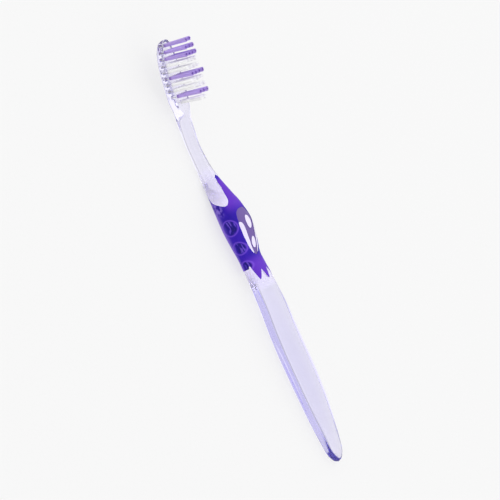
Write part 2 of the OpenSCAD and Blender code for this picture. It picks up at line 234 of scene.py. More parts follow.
def as_object(name, form):
    """Piece made from a finished bmesh."""
    mesh = bpy.data.meshes.new(name)
    form.to_mesh(mesh)
    form.free()
    piece = bpy.data.objects.new(name, mesh)
    bpy.context.scene.collection.objects.link(piece)
    return piece


def closed_over(form, rim):
    bmesh.ops.contextual_create(form, geom=rim)


def points_of(parts):
    return [part for part in parts if isinstance(part, bmesh.types.BMVert)]


def next_ring(form, rim, step):
    """Pushes a rim of edges on by a step, and gives the new ring's points and edges."""
    grown = bmesh.ops.extrude_edge_only(form, edges=rim)["geom"]
    ring = set(points_of(grown))
    bmesh.ops.translate(form, verts=list(ring), vec=step)
    edges = [part for part in grown if isinstance(part, bmesh.types.BMEdge) and ring.issuperset(part.verts)]
    return ring, edges


def tube(places):
    """Straight round tube along X, closed at both ends, with a ring at each place."""
    form = bmesh.new()
    bmesh.ops.create_circle(form, segments=SIDES, radius=1)
    bmesh.ops.rotate(form, verts=form.verts, matrix=Matrix.Rotation(pi / 2, 3, "Y"))
    bmesh.ops.translate(form, verts=form.verts, vec=(places[0], 0, 0))
    first = rim = form.edges[:]
    for last, place in zip(places, places[1:]):
        _, rim = next_ring(form, rim, (place - last, 0, 0))
    closed_over(form, first)
    closed_over(form, rim)
    return form


def loft(name, places, depth=0):
    """Solid whose skin follows the body's form at a depth under it."""
    form = tube(places)
    for vert in form.verts:
        vert.co = skin_point(vert.co.x, atan2(vert.co.z, vert.co.y), depth)
    bmesh.ops.recalc_face_normals(form, faces=form.faces)
    return as_object(name, form)


def prism(form, outline, turn, start, reach):
    """Outline pushed along Z by its reach, then turned and moved to its start on the grip."""
    verts = [form.verts.new((x, y, 0)) for x, y in outline]
    face = form.faces.new(verts)
    verts += points_of(bmesh.ops.extrude_face_region(form, geom=[face])["geom"])
    bmesh.ops.translate(form, verts=verts[len(outline):], vec=(0, 0, reach))
    place = Matrix.Translation(Vector(start) + Vector((GRIP_AT - MIDDLE, 0, 0)))
    bmesh.ops.transform(form, verts=verts, matrix=Matrix.Scale(MM, 4) @ place @ turn)


def through_width(form, outline):
    prism(form, outline, Matrix.Rotation(pi / 2, 4, "X"), (0, BELLY_W, 0), 2 * BELLY_W)


def up_through_top(form, outline):
    prism(form, outline, Matrix(), (0, 0, BELLY_T / 2), BELLY_T)


def cutter(draw, *shapes):
    """Tool made of separate prisms."""
    form = bmesh.new()
    for shape in shapes:
        draw(form, shape)
    bmesh.ops.recalc_face_normals(form, faces=form.faces)
    return as_object("tool", form)


def carved(piece, *tools, keep="DIFFERENCE"):
    """Cuts the tools out of a piece, or keeps what they share, and throws the tools away."""
    for tool in tools:
        cut = piece.modifiers.new("cut", "BOOLEAN")
        cut.operation, cut.solver, cut.object = keep, "MANIFOLD", tool
    baked(piece)
    for tool in tools:
        bpy.data.meshes.remove(tool.data)
    return piece


def baked(piece):
    """Applies a piece's modifiers to its mesh."""
    bpy.context.view_layer.update()
    shaped = piece.evaluated_get(bpy.context.evaluated_depsgraph_get())
    mesh = bpy.data.meshes.new_from_object(shaped)
    piece.modifiers.clear()
    old, piece.data = piece.data, mesh
    bpy.data.meshes.remove(old)
    mesh.name = piece.name
    return piece


def copied(piece):
    other = bpy.data.objects.new(piece.name, piece.data.copy())
    bpy.context.scene.collection.objects.link(other)
    return other


def steps(start, stop, count):
    return [between(start, stop, k / count) for k in range(count + 1)]


# Soft grip
# Lengths in millimetres, and places in millimetres from the grip's start
ZONE_START, ZONE_FLOOR = -1, -2  # the grip's zone begins ahead of it and under the table
NOTCH_TURN, NOTCH_END = 4, 5  # the clear notch runs on past the grip
CORE_PAST, SKIN_PAST = 3, 2  # the core and the sleeve are drawn past the grip's ends
FRONT_SPAN, PAD_SPAN = (-2, 14), (12, 44)
CUT_STEPS, GRIP_STEPS, SKIN_PLACES = 60, 120, 200
BALL_RINGS = 72  # of the balls that hollow the dimples
VOXEL, SMOOTHING, SMOOTH_ROUNDS = 0.2, 0.5, 4  # of the sleeve's even skin
WALL_REACH, EDGE_REACH = 0.24, 0.85  # points are drawn to a border, and to the skin, from this close
TIP_LEN = 1.5  # the sleeve's tip is narrower than that
FRONT_WALL_LEN = 6  # the let-in front borders the side outlines over this length
PROUD, LIP_HEIGHT, LIP_SPREAD = 0.03, 0.1, 0.26  # the sleeve stands proud, and more so round its dimples
THIN_AND_SHEEN_FRONT, THIN_AND_SHEEN_REAR, HOLLOW_SHADE_FADE = 0.85, 0.8, 0.6  # strengths of the marks: the paleness with painted sheen at the front and at the rear, and how much the painted shade in a dimple thins out low down
LEAST_RADIUS, TINY = 0.1, 1e-12  # these keep a division from running away

# Over what a mark rises, and then falls where it has four values
FACES_OUT, FACES_ITS_SIDE, FACES_UP = (0.2, 0.5), (-0.1, 0.3), (0.2, 0.5)
WALL_TURN, LINING_TURN = (0.25, 0.55), (0.3, 0.6)
HOLLOW_IN, HOLLOW_LOW = (0.1, 0.7), (0.1, 0.8)
# The paleness on the crown and the upper rear flank is partly thinness and partly painted sheen; the rim mark
# is painted light along the lower flank.
CROWN_LEVEL, REAR_LEVEL, LOWER_FLANK_LIGHT_LEVEL = (0.3, 0.75), (-0.1, 0.5), (0.05, 0.75)
FRONT_PLACES, REAR_PLACES, LOWER_FLANK_LIGHT_PLACES = (1, 4, 13, 19), (36, 41), (9, 13, 40, 45)
FILM_INSIDE, LINING_PLACES = (-0.05, 0.1), (1, 8)
MOTTLED_PLACES, MOTTLED_PAST_TONGUE, MOTTLED_HEIGHTS = (8, 10), (0.1, 0.4, 2.2, 5.2), (5.5, 8)


def side_outlines():
    """Side view of the grip: the zone that it fills, and the clear tongue."""
    rear = scaled(REAR, BELLY_T)
    top = 2 * BELLY_T
    zone = [(ZONE_START, top), (ZONE_START, ZONE_FLOOR), (rear[0][0], ZONE_FLOOR), *rear,
            (GRIP_LEN, rear[3][1] + (rear[3][1] - rear[2][1]) / 2), (GRIP_LEN, top)]
    return zone, curved(scaled(TONGUE, BELLY_T))


def top_outlines():
    """Top view of the grip, one side of it: its clear notch, leaf and ovals."""
    notch = [*scaled(NOTCH, BELLY_W), (GRIP_LEN + NOTCH_TURN, BELLY_W), (GRIP_LEN + NOTCH_END, BELLY_W),
             (GRIP_LEN + NOTCH_END, BELLY_W * NOTCH[0][1])]
    turns = [2 * pi * k / OVAL_SIDES for k in range(OVAL_SIDES)]
    ovals = [scaled([(place + length / 2 * cos(turn), width / 2 * sin(turn)) for turn in turns], BELLY_W)
             for place, length, width in OVALS]
    return notch, curved(scaled(LEAF, BELLY_W)), *ovals


def front_outline():
    """Top view of the sleeve's front, which is let into the crown of the neck."""
    return two_sided(scaled(FRONT, BELLY_W))


def layer_under_skin(outline, span, depth):
    """Layer of one depth under the skin, inside a top outline."""
    under = loft("under", steps(GRIP_AT + span[0], GRIP_AT + span[1], CUT_STEPS), depth)
    return carved(cutter(up_through_top, outline), under)


def grip_space():
    """What the soft grip fills round the clear core.

    It stands past the skin, so that cutting it out leaves no film.
    """
    filled, tongue = side_outlines()
    notch, leaf, *ovals = top_outlines()
    zone = carved(cutter(through_width, filled), cutter(through_width, tongue),
                  cutter(up_through_top, notch, mirrored(notch), leaf, mirrored(leaf), *ovals),
                  loft("core", steps(GRIP_AT - CORE_PAST, STEM_AT + CORE_PAST, CUT_STEPS), GRIP_WALL))
    return carved(zone, layer_under_skin(front_outline(), FRONT_SPAN, FRONT_DEPTH), keep="UNION")


def dimple_balls():
    form = bmesh.new()
    for place, height, size in DIMPLES:
        radius = DIMPLE_D / 2 * size
        ball = (radius ** 2 + DIMPLE_DEPTH ** 2) / (2 * DIMPLE_DEPTH)
        along = GRIP_AT + GRIP_LEN * place
        for side in (-1, 1):
            across = side * (half_width(along) + ball - DIMPLE_DEPTH)
            centre = Vector((along - MIDDLE, across, BELLY_T * height))
            bmesh.ops.create_uvsphere(form, u_segments=SIDES, v_segments=BALL_RINGS, radius=ball * MM,
                                      matrix=Matrix.Translation(centre * MM))
    return as_object("tool", form)


def nearest_on(outline, x, y):
    """The nearest points of a closed outline, and how far points lie inside it, less than zero outside."""
    near, near_x, near_y, crossed = np.full(len(x), np.inf), x, y, np.zeros(len(x), bool)
    for (ax, ay), (bx, by) in zip(outline, [*outline[1:], outline[0]]):
        dx, dy = bx - ax, by - ay
        share = np.clip(((x - ax) * dx + (y - ay) * dy) / (dx * dx + dy * dy + TINY), 0, 1)
        spot_x, spot_y = ax + share * dx, ay + share * dy
        away = np.hypot(x - spot_x, y - spot_y)
        near_x, near_y = np.where(away < near, spot_x, near_x), np.where(away < near, spot_y, near_y)
        near = np.minimum(near, away)
        if ay != by:
            crossed ^= ((ay > y) != (by > y)) & (x < ax + (y - ay) / (by - ay) * dx)
    return near_x, near_y, np.where(crossed, near, -near)


def drawn_to(outline, x, flat, deep, share, edge=None):
    """Slides wall points onto the outline that cut them, and edge points to where it meets the skin."""
    near_x, near_flat, inside = nearest_on(outline, x, flat)
    share = share * (abs(inside) < WALL_REACH)
    if edge:
        rise = edge(near_x, near_flat) - deep
        deep = deep + rise * share * (abs(rise) < EDGE_REACH)
    return x + (near_x - x) * share, flat + (near_flat - flat) * share, deep


def eased_over(span, value):
    """Rises smoothly over the span's first two values, and falls over its last two where it has four."""
    low, high, *fall = span
    share = np.clip((value - low) / (high - low), 0, 1)
    rise = share * share * (3 - 2 * share)
    return rise * (1 - eased_over(fall, value)) if fall else rise


def rough_grip(space, pad):
    """The sleeve cut out of the form, with an even skin and softly rounded edges."""
    skin = loft("soft_grip", steps(GRIP_AT - SKIN_PAST, STEM_AT + SKIN_PAST, GRIP_STEPS))
    grip = carved(skin, space, keep="INTERSECT")
    carved(grip, dimple_balls(), layer_under_skin(pad, PAD_SPAN, PAD_DEPTH))
    remesh = grip.modifiers.new("even skin", "REMESH")
    remesh.mode, remesh.voxel_size = "VOXEL", VOXEL * MM
    sharp = copied(grip)
    snap = grip.modifiers.new("true borders", "SHRINKWRAP")
    snap.target, snap.wrap_method = sharp, "NEAREST_SURFACEPOINT"
    ease = grip.modifiers.new("soft edges", "SMOOTH")
    ease.factor, ease.iterations = SMOOTHING, SMOOTH_ROUNDS
    baked(grip).data.shade_smooth()
    bpy.data.meshes.remove(sharp.data)
    return grip


def rows_of(items, key):
    """A vector for each of a mesh's items, one to a row."""
    values = np.empty(3 * len(items), np.float32)
    items.foreach_get(key, values)
    return values.reshape(-1, 3)


def grip_skin():
    """The body's skin along the grip: its middle, half its height, and where it lies across and in height."""
    places = np.linspace(-SKIN_PAST, GRIP_LEN + SKIN_PAST, SKIN_PLACES)

    def table(form):
        values = [form(GRIP_AT + place) for place in places]
        return lambda along: np.interp(along, places, values)

    half, tall, middle, power = (table(form) for form in (
        half_width, lambda along: thickness(along) / 2, middle_z, form_squareness))

    def rest_of(share, along):
        return np.clip(1 - np.clip(abs(share), 0, 1) ** power(along), 0, 1) ** (1 / power(along))

    def skin_across(along, height):
        return half(along) * rest_of((height - middle(along)) / tall(along), along)

    def skin_height(along, across):
        return middle(along) + tall(along) * rest_of(across / half(along), along)

    return middle, tall, skin_across, skin_height


def dimple_marks(x, y, z, facing):
    """How much each point belongs to the lip of a dimple, and to its hollow, which takes painted shade that
    thins out low down.
    """
    sideways = facing[:, 1]
    outer = eased_over(FACES_ITS_SIDE, np.sign(y) * sideways) * eased_over(FACES_OUT, abs(sideways))
    lip, hollow = np.zeros(len(x)), np.zeros(len(x))
    for place, height, size in DIMPLES:
        radius = DIMPLE_D / 2 * size
        rise = z - BELLY_T * height
        off = np.hypot(x - GRIP_LEN * place, rise) - radius
        # the lip mark raises the lips and also carries their painted highlight
        lip += outer * np.exp(-(off / LIP_SPREAD) ** 2)
        faded = 1 - HOLLOW_SHADE_FADE * eased_over(HOLLOW_LOW, -rise / radius)
        # painted shade in the hollow, fading towards its bottom
        hollow += outer * eased_over(HOLLOW_IN, -off) * faded
    return lip, hollow


def on_borders(x, y, z, wall, pad, skin_across, skin_height):
    """Draws the sleeve's walls and edges onto the exact outlines that cut it."""
    side, across = np.sign(y), abs(y)
    let_in = front_outline()
    own = 1 - (abs(nearest_on(let_in, x, across)[2]) < WALL_REACH) * (x < FRONT_WALL_LEN)
    wall = wall * eased_over((TIP_LEN, 2 * TIP_LEN), x)
    for outline in side_outlines():
        x, z, across = drawn_to(outline, x, z, across, wall * own, skin_across)
    x, across, z = drawn_to(pad, x, across, z, wall * (z > BELLY_T / 2))
    for outline in (let_in, *top_outlines()):
        x, across, z = drawn_to(outline, x, across, z, wall * (z > BELLY_T / 2), skin_height)
    return x, side * across, z


def soft_grip(space):
    """Overmoulded sleeve with softly rounded edges, lips round its dimples and a thin film under the thumb.

    Its skin carries, for its finish, where it is pale with painted sheen, filmed, hollow with painted shade,
    lipped with a painted highlight, rimmed with painted light along its lower flank, mottled, or lining with
    painted light.
    """
    pad = curved(two_sided(scaled(PAD, BELLY_W)))
    grip = rough_grip(space, pad)
    mesh = grip.data
    facing = rows_of(mesh.vertex_normals, "vector")
    x, y, z = rows_of(mesh.vertices, "co").T.astype(float) / MM
    x += MIDDLE - GRIP_AT
    lip, hollow = dimple_marks(x, y, z, facing)
    middle, tall, skin_across, skin_height = grip_skin()
    centre = middle(x)
    from_centre = np.stack((np.zeros(len(x)), y, z - centre), axis=1)
    outward = from_centre / np.maximum(np.hypot(y, z - centre), LEAST_RADIUS)[:, None]
    out = (facing * outward).sum(axis=1)
    wall = eased_over(WALL_TURN, np.sqrt(np.clip(1 - out ** 2, 0, 1)))
    x, y, z = on_borders(x, y, z, wall, pad, skin_across, skin_height)
    spots = np.stack((x + GRIP_AT - MIDDLE, y, z), axis=1)
    spots += outward * (np.clip(out, 0, 1) * (PROUD + LIP_HEIGHT * lip))[:, None]
    mesh.vertices.foreach_set("co", (spots * MM).astype(np.float32).ravel())
    level = (z - centre) / tall(x)
    crown = eased_over(CROWN_LEVEL, level) * eased_over(FRONT_PLACES, x)
    rear = eased_over(REAR_LEVEL, level) * eased_over(REAR_PLACES, x)
    past = -nearest_on(side_outlines()[1], x, z)[2]
    marks = {
        "lip": lip,
        # painted shade in the dimples' hollows
        "hollow": hollow,
        # paler where the sleeve is thin, partly painted sheen on its upper flank
        "pale": np.clip(THIN_AND_SHEEN_FRONT * crown + THIN_AND_SHEEN_REAR * rear, 0, 1),
        # rim: painted light along the lower flank
        "rim": eased_over(LOWER_FLANK_LIGHT_LEVEL, -level) * eased_over(LOWER_FLANK_LIGHT_PLACES, x),
        "film": eased_over(FILM_INSIDE, nearest_on(pad, x, y)[2]) * eased_over(FACES_UP, facing[:, 2]),
        "mottled": eased_over(MOTTLED_PLACES, x) * eased_over(MOTTLED_PAST_TONGUE, past) * (
            1 - eased_over(MOTTLED_HEIGHTS, z)),
        # lining: the sleeve's inner faces, pale as painted light for light that comes through the windows
        "lining": eased_over(LINING_TURN, -out) * eased_over(LINING_PLACES, x),
    }
    for name, values in marks.items():
        mesh.attributes.new(name, "FLOAT", "POINT").data.foreach_set("value", values.astype(np.float32))
    mesh.update()
    return grip


def shaded_smooth(form):
    for part in form.faces:
        part.smooth = True


# Clear body
NOSE_STEPS, TAIL_STEPS, BODY_STEPS = 36, 20, 210
HOLE_SIDES, HOLE_PAST = 32, 1  # the drill stands past the bristle face, in millimetres
FLAT_MATCH, CREASE = 0.9999, radians(28)  # what counts as the bristle face, and as a sharp edge


def tuft_places(row):
    """Where the tufts of a row stand on the bristle face, and how they lean."""
    along = FIRST_ROW + ROW_PITCH * row
    turn = Matrix.Rotation(radians(FACE_TILT - ROW_LEAN[row]), 4, "Y")
    count = ROW_TUFTS[row]
    pitch = TUFT_PITCH * ROW_CLOSE[row]
    spots = [(along - MIDDLE, pitch * (k - (count - 1) / 2), face_z(along)) for k in range(count)]
    return [Matrix.Translation(Vector(spot) * MM) @ turn for spot in spots]


def face_block():
    """What is planed off the head's crown to leave the flat bristle face."""
    form = bmesh.new()
    bmesh.ops.create_cube(form, size=1)
    length = HEAD_LEN * (1 + FACE_END_SHARE)
    bmesh.ops.translate(form, verts=form.verts, vec=(0.5, 0, 0.5))
    bmesh.ops.scale(form, verts=form.verts, vec=Vector((length, 2 * HEAD_W, HEAD_T)) * MM)
    bmesh.ops.translate(form, verts=form.verts, vec=(-HEAD_LEN * MM, 0, 0))
    place = Matrix.Translation(Vector((-MIDDLE, 0, face_z(0))) * MM)
    bmesh.ops.transform(form, verts=form.verts, matrix=place @ Matrix.Rotation(radians(FACE_TILT), 4, "Y"))
    return as_object("tool", form)


def tuft_holes():
    form = bmesh.new()
    radius, depth = HOLE_D / 2 * MM, (HOLE_DEPTH + HOLE_PAST) * MM
    for row in range(ROWS):
        for place in tuft_places(row):
            drill = place @ Matrix.Translation((0, 0, (HOLE_PAST - HOLE_DEPTH) / 2 * MM))
            bmesh.ops.create_cone(form, cap_ends=True, segments=HOLE_SIDES, radius1=radius, radius2=radius,
                                  depth=depth, matrix=drill)
    return as_object("tool", form)


def creased(body):
    """Shades the body smoothly, but for its bristle face and its sharp edges."""
    face = Vector((sin(radians(FACE_TILT)), 0, cos(radians(FACE_TILT))))
    form = bmesh.new()
    form.from_mesh(body.data)
    form.normal_update()
    shaded_smooth(form)
    for edge in form.edges:
        flat = [part.normal.dot(face) > FLAT_MATCH for part in edge.link_faces]
        edge.smooth = len(flat) == 2 and flat[0] == flat[1] and edge.calc_face_angle(0) < CREASE
    form.to_mesh(body.data)
    form.free()
    return body


def clear_body(space):
    """Head, neck, core and stem in one clear moulding, hollowed where the soft grip lies."""
    nose = [NOSE_LEN * (1 - cos(pi / 2 * k / NOSE_STEPS)) for k in range(NOSE_STEPS)]
    tail = [BRUSH_LEN - END_LEN * (1 - sin(pi / 2 * k / TAIL_STEPS)) for k in range(1, TAIL_STEPS + 1)]
    body = loft("clear_body", [*nose, *steps(NOSE_LEN, BRUSH_LEN - END_LEN, BODY_STEPS), *tail])
    carved(body, face_block(), space)
    return creased(carved(body, tuft_holes()))


# Bristles
STRANDS, STRAND_D, SPLAY = 44, 0.2, 0.2
STRAND_SIDES = 5
STRAND_RINGS = [[0.2, 1], [0.45, 1], [0.7, 1], [0.9, 1], [0.985, 0.94], [1, 0.5]]  # height, width
STRAND_TURN = 2.39996  # from one strand to the next, which spreads them evenly
FOOT_GAP, SIDE_GAP = 0.08, 0.03  # strands stop short of their hole's floor and wall
LENGTH_SPREAD, SPLAY_SPREAD, STRAY_SPREAD = (-0.16, 0.06), (-0.05, 0.07), (-0.05, 0.05)
OPENING_POWER = 1.4  # tufts open mostly near their tips
INNER_SHARE, OUTER_TIP_SHADE = 0.55, 0.2  # strands further out than this share carry only weak painted shade at their tips


def strand_pattern(form, rise):
    """One upright strand a unit high and a unit in radius, with a rounded tip."""
    bmesh.ops.create_circle(form, segments=STRAND_SIDES, radius=1)
    first = rim = form.edges[:]
    last = 0
    for height, width in STRAND_RINGS:
        ring, rim = next_ring(form, rim, (0, 0, height - last))
        for vert in ring:
            vert.co.xy = vert.co.xy.normalized() * width
            vert[rise] = height
        last = height
    closed_over(form, first)
    closed_over(form, rim)
    bmesh.ops.recalc_face_normals(form, faces=form.faces)
    return [*form.verts, *form.edges, *form.faces]


def bristle_row(row, chance):
    """Tufts of fine strands that fill their holes and open a little towards their tips."""
    form = bmesh.new()
    rise, shade, inner = (form.verts.layers.float.new(name) for name in ("rise", "shade", "inner"))
    pattern = strand_pattern(form, rise)
    length = (TUFT_LEN - (0 if row in COLOURED_ROWS else WHITE_DROP)) * ROW_TRIM[row]
    foot, bundle = FOOT_GAP - HOLE_DEPTH, HOLE_D / 2 - STRAND_D / 2 - SIDE_GAP
    for place in tuft_places(row):
        turn = chance.uniform(0, 2 * pi)
        for k in range(STRANDS):
            angle, out = turn + k * STRAND_TURN, bundle * sqrt((k + 0.5) / STRANDS)
            outward = Vector((cos(angle), sin(angle)))
            reach = length + chance.uniform(*LENGTH_SPREAD)
            bow = outward * (SPLAY * out / bundle + chance.uniform(*SPLAY_SPREAD))
            bow += Vector((chance.uniform(*STRAY_SPREAD), chance.uniform(*STRAY_SPREAD)))
            strand = points_of(bmesh.ops.duplicate(form, geom=pattern)["geom"])
            tone = chance.random()
            for vert in strand:
                z = between(foot, reach, vert.co.z)
                open_by = (max(z, 0) / reach) ** OPENING_POWER
                xy = vert.co.xy * STRAND_D / 2 + outward * out + bow * open_by
                vert.co = place @ (Vector((xy.x, xy.y, z)) * MM)
                vert[shade], vert[inner] = tone, 1 if out < bundle * INNER_SHARE else OUTER_TIP_SHADE
    bmesh.ops.delete(form, geom=points_of(pattern))
    shaded_smooth(form)
    return as_object(f"bristle_row_{row + 1:02d}", form)


# Finishes
def new_finish(name):
    """Material with one plastic shader, and functions that add and join its nodes."""
    material = bpy.data.materials.new(name)
    material.use_nodes = True
    tree = material.node_tree
    shader = tree.nodes["Principled BSDF"]

    def add(kind, settings=(), **sockets):
        node = tree.nodes.new(f"ShaderNode{kind}")
        for key, value in dict(settings).items():
            setattr(node, key, value)
        for key, value in sockets.items():
            numbered = key[0] == "i" and key[1:].isdigit()
            socket = node.inputs[int(key[1:]) if numbered else key.replace("_", " ")]
            if isinstance(value, bpy.types.NodeSocket):
                tree.links.new(value, socket)
            else:
                socket.default_value = value
        return node

    def join(source, target):
        tree.links.new(source, shader.inputs[target] if isinstance(target, str) else target)

    return material, shader, add, join


def filled(ramp, stops):
    """Sets the colours, or greys, of a ramp."""
    line = ramp.color_ramp
    while len(line.elements) < len(stops):
        line.elements.new(0.5)
    for element, (place, colour) in zip(line.elements, stops):
        element.position = place
        element.color = (*colour, 1) if hasattr(colour, "__len__") else (colour, colour, colour, 1)
    return ramp.outputs["Color"]


def ramp_of(add, source, stops):
    return filled(add("ValToRGB", Fac=source), stops)


def noise(add, stretch, detail, roughness=0.5):
    """Noise on the piece's own coordinates, with so many lumps to a metre on each axis."""
    vector = add("Mapping", Vector=add("TexCoord").outputs["Object"], Scale=stretch).outputs["Vector"]
    return add("TexNoise", Vector=vector, Scale=1, Detail=detail, Roughness=roughness).outputs["Fac"]


def marked(add, name):
    """How strongly the piece's skin carries a mark."""
    return add("Attribute", {"attribute_name": name}).outputs["Fac"]


def spread(add, value, low, high):
    return add("MapRange", Value=value, To_Min=low, To_Max=high).outputs["Result"]


def times(add, a, b):
    return add("Math", {"operation": "MULTIPLY"}, i0=a, i1=b).outputs[0]


def blended(add, share, under, over, how="MIX"):
    return add("Mix", {"data_type": "RGBA", "blend_type": how}, i0=share, i6=under, i7=over).outputs[2]


def bumped(add, height, strength, distance):
    return add("Bump", Height=height, Strength=strength, Distance=distance).outputs["Normal"]


def lit_through(add, join, material, colour):
    """Lets light of a colour pass through a piece into its shadow."""
    nodes = material.node_tree.nodes
    light = add("BsdfTransparent", Color=colour).outputs[0]
    shadow = add("LightPath").outputs["Is Shadow Ray"]
    passing = add("MixShader", i0=shadow, i1=nodes["Principled BSDF"].outputs[0], i2=light)
    join(passing.outputs[0], nodes["Material Output"].inputs["Surface"])


# the cloudy tint is painted light: a milky pale core inside the grip stands in for light coming through its
# windows
CLEAR_TINT, MILKY_LIGHT_TINT, CLEAR_SHADOW = (0.91, 0.90, 0.975, 1), (0.84, 0.78, 1, 1), (0.97, 0.96, 1, 1)
CLEAR_INSIDE, CLEAR_DENSITY = (0.25, 0.16, 0.93, 1), 16
MILKY_LIGHT_PAST = 4  # the cloudy stretch, painted light for the light through the grip's windows, ends this far past the grip, in millimetres
MILKY_LIGHT_RUN = [(0.0, 0), (0.3, 1), (0.82, 1), (1.0, 0)]
WEAR, FLOW_LINES = (60, 400, 400), (25, 160, 160)


def clear_plastic():
    """Clear, pale lavender moulded plastic, polished, with faint flow lines, and cloudy inside the grip as
    painted light that stands in for light coming through the grip's windows.
    """
    material, shader, add, join = new_finish("clear_lavender_plastic")
    along = add("SeparateXYZ", Vector=add("TexCoord").outputs["Object"]).outputs["X"]
    start, stop = ((place - MIDDLE) * MM for place in (GRIP_AT - MILKY_LIGHT_PAST, STEM_AT + MILKY_LIGHT_PAST))
    span = add("MapRange", Value=along, From_Min=start, From_Max=stop).outputs["Result"]
    # milky, pale and less clear inside the grip, as painted light for the windows
    milky_light = ramp_of(add, span, MILKY_LIGHT_RUN)
    join(blended(add, milky_light, CLEAR_TINT, MILKY_LIGHT_TINT), "Base Color")
    join(spread(add, milky_light, low=1, high=0.15), "Transmission Weight")
    shader.inputs["IOR"].default_value = 1.5
    join(spread(add, noise(add, WEAR, detail=3, roughness=0.6), low=0.02, high=0.07), "Roughness")
    join(bumped(add, noise(add, FLOW_LINES, detail=2), strength=0.06, distance=0.0004), "Normal")
    lit_through(add, join, material, CLEAR_SHADOW)
    inside = add("VolumeAbsorption", Color=CLEAR_INSIDE, Density=CLEAR_DENSITY)
    join(inside.outputs["Volume"], material.node_tree.nodes["Material Output"].inputs["Volume"])
    return material


VIOLET = [(0.3, (0.016, 0.001, 0.31)), (0.7, (0.034, 0.004, 0.41))]
VIOLET_MOTTLING = [(0.42, (0.02, 0.004, 0.24)), (0.52, (0.13, 0.065, 0.50)), (0.6, (0.24, 0.15, 0.62))]
# painted shade in the dimples' hollows, as dark violet streaks
PAINTED_SHADE_STREAKS = [(0.44, (0.006, 0.0005, 0.17)), (0.54, (0.014, 0.002, 0.27)), (0.62, (0.12, 0.06, 0.52))]
# paleness with painted sheen on the upper flank, painted light on the lower flank, and the thumb film's own
# colour
THIN_AND_SHEEN_VIOLET, LOWER_FLANK_LIGHT_VIOLET, FILM_VIOLET = (0.125, 0.026, 0.52, 1), (0.27, 0.16, 0.70, 1), (0.15, 0.095, 0.32, 1)
# painted highlight on the dimples' lips, and painted light on the sleeve's lining
LIP_HIGHLIGHT_VIOLET, LINING_PAINTED_LIGHT = (0.20, 0.08, 0.68, 1), (0.72, 0.62, 0.92, 1)
# how strongly the mottling and the lips' painted highlight show
MOTTLED_SHARE, LIP_HIGHLIGHT_SHARE = 0.85, 0.6
CLOUDS, MOTTLES, STREAKS, GRAIN = (180, 260, 260), (600, 900, 900), (220, 1000, 1000), (9000, 9000, 9000)


def soft_violet():
    """Deep violet soft-touch elastomer: satin and cloudy, paler where it is thin with painted sheen on its
    upper flank, with painted light on its lower flank and its lining, a painted highlight on its dimples'
    lips and painted shade in their hollows.
    """
    material, shader, add, join = new_finish("soft_violet_grip")
    clouds = noise(add, CLOUDS, detail=4, roughness=0.55)
    mottling = ramp_of(add, noise(add, MOTTLES, detail=1.5), VIOLET_MOTTLING)
    # painted shade for the dimples' hollows
    shade_streaks = ramp_of(add, noise(add, STREAKS, detail=1), PAINTED_SHADE_STREAKS)
    colour = ramp_of(add, clouds, VIOLET)
    for share, over in (
            # paler where thin, partly painted sheen on the upper flank
            (marked(add, "pale"), THIN_AND_SHEEN_VIOLET),
            # painted light along the lower flank
            (marked(add, "rim"), LOWER_FLANK_LIGHT_VIOLET),
            (marked(add, "film"), FILM_VIOLET),
            (times(add, marked(add, "mottled"), MOTTLED_SHARE), mottling),
            # painted shade in the dimples' hollows
            (marked(add, "hollow"), shade_streaks),
            # painted highlight on the dimples' lips
            (times(add, marked(add, "lip"), LIP_HIGHLIGHT_SHARE), LIP_HIGHLIGHT_VIOLET),
            # painted light on the sleeve's lining, for light that comes through the windows
            (marked(add, "lining"), LINING_PAINTED_LIGHT)):
        colour = blended(add, share, colour, over)
    join(colour, "Base Color")
    join(spread(add, clouds, low=0.42, high=0.55), "Roughness")
    join(bumped(add, noise(add, GRAIN, detail=2), strength=0.12, distance=0.00006), "Normal")
    shader.inputs["Specular IOR Level"].default_value = 0.18
    return material


# Colours of a strand's root, darker as painted shade inside its hole, its shaft and its cut tip, darker as
# painted shade among the inner strands of a tuft, and of the light that it lets pass
VIOLET_STRAND = (0.36, 0.19, 0.68), (0.61, 0.46, 0.91), (0.18, 0.07, 0.50), (0.96, 0.95, 0.98, 1)
WHITE_STRAND = (0.95, 0.94, 0.98), (1, 1, 1), (0.98, 0.98, 0.99), (0.99, 0.99, 0.99, 1)
ROOT_SHADE_END, SHAFT_START = 0.16, 0.25
TIP_SHADE_RUN = [(0.95, 0), (0.975, 1)]


def nylon(name, root, shaft, tip, passed):
    """Half-clear nylon strands, coloured from root to shaft, with painted shade in their roots and on the cut
    tips of the inner strands of each tuft.
    """
    material, shader, add, join = new_finish(name)
    rise = marked(add, "rise")
    # the root colour is painted shade on the stretch of a strand inside its hole
    run = ramp_of(add, rise, [(0.0, root), (ROOT_SHADE_END, root), (SHAFT_START, shaft), (1.0, shaft)])
    # painted shade on the cut tips of the inner strands
    cut = times(add, ramp_of(add, rise, TIP_SHADE_RUN), marked(add, "inner"))
    tone = spread(add, marked(add, "shade"), low=0.86, high=1.04)
    join(blended(add, 1.0, blended(add, cut, run, (*tip, 1)), tone, how="MULTIPLY"), "Base Color")
    shader.inputs["Roughness"].default_value = 0.4
    shader.inputs["Transmission Weight"].default_value = 0.08
    lit_through(add, join, material, passed)
    return material


ROLLING_MARKS = (4000, 400, 4000)
NICKEL_SILVER = [(0.3, (0.50, 0.48, 0.45)), (0.7, (0.66, 0.64, 0.60))]


def anchor_strip():
    """Nickel-silver strip with fine rolling marks."""
    material, shader, add, join = new_finish("nickel_silver_strip")
    marks = noise(add, ROLLING_MARKS, detail=3)
    join(ramp_of(add, marks, NICKEL_SILVER), "Base Color")
    join(spread(add, marks, low=0.28, high=0.45), "Roughness")
    shader.inputs["Metallic"].default_value = 1
    return material


PAPER_TOOTH = (900, 900, 900)
PAPER_GREY = [(0.3, 0.20), (0.7, 0.21)]


